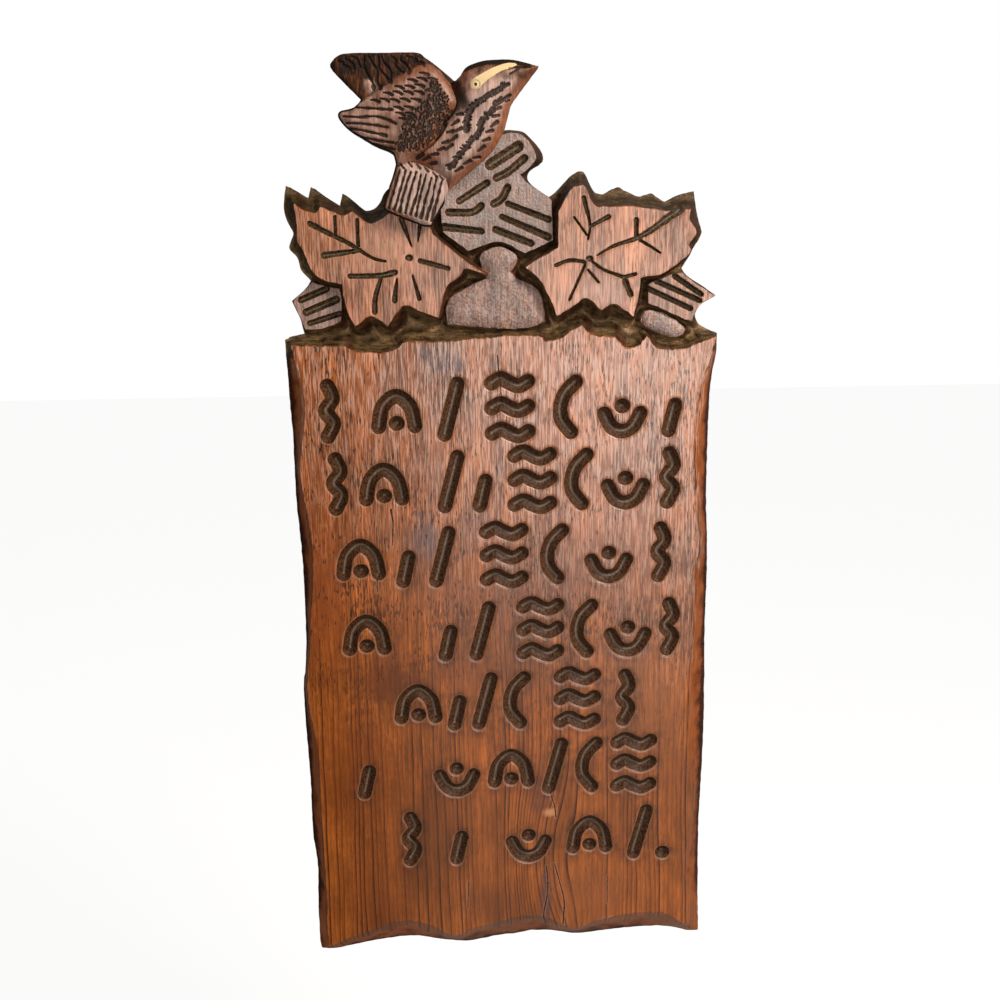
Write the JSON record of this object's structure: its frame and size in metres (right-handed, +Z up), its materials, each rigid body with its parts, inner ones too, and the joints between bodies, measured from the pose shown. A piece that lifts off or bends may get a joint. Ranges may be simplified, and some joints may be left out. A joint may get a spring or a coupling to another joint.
{
  "type": "carved wooden wall sign",
  "caption": "Upright wooden wall plaque with rows of routed strokes, a crest of carved leaves and a bird in flight glued on the crest.",
  "frame": {"origin": "on the flat back of the plank, at the middle of its width, 60 mm below the ledge at the top of the panel, where the sign is fixed to the wall", "axes": "+Z up along the grain, +X to the viewer's right, +Y into the wall, so the carved front faces -Y"},
  "size_m": [0.2885, 0.0563, 0.6297],
  "materials": {
    "plank": "reddish brown stained softwood with dark grooves, satin varnish",
    "bird": "reddish brown stained softwood with dark gouge cuts and a cream painted face patch, satin varnish"
  },
  "bodies": {
    "root": {"carved_plank": "plank", "bird": "bird"}
  },
  "joints": []
}
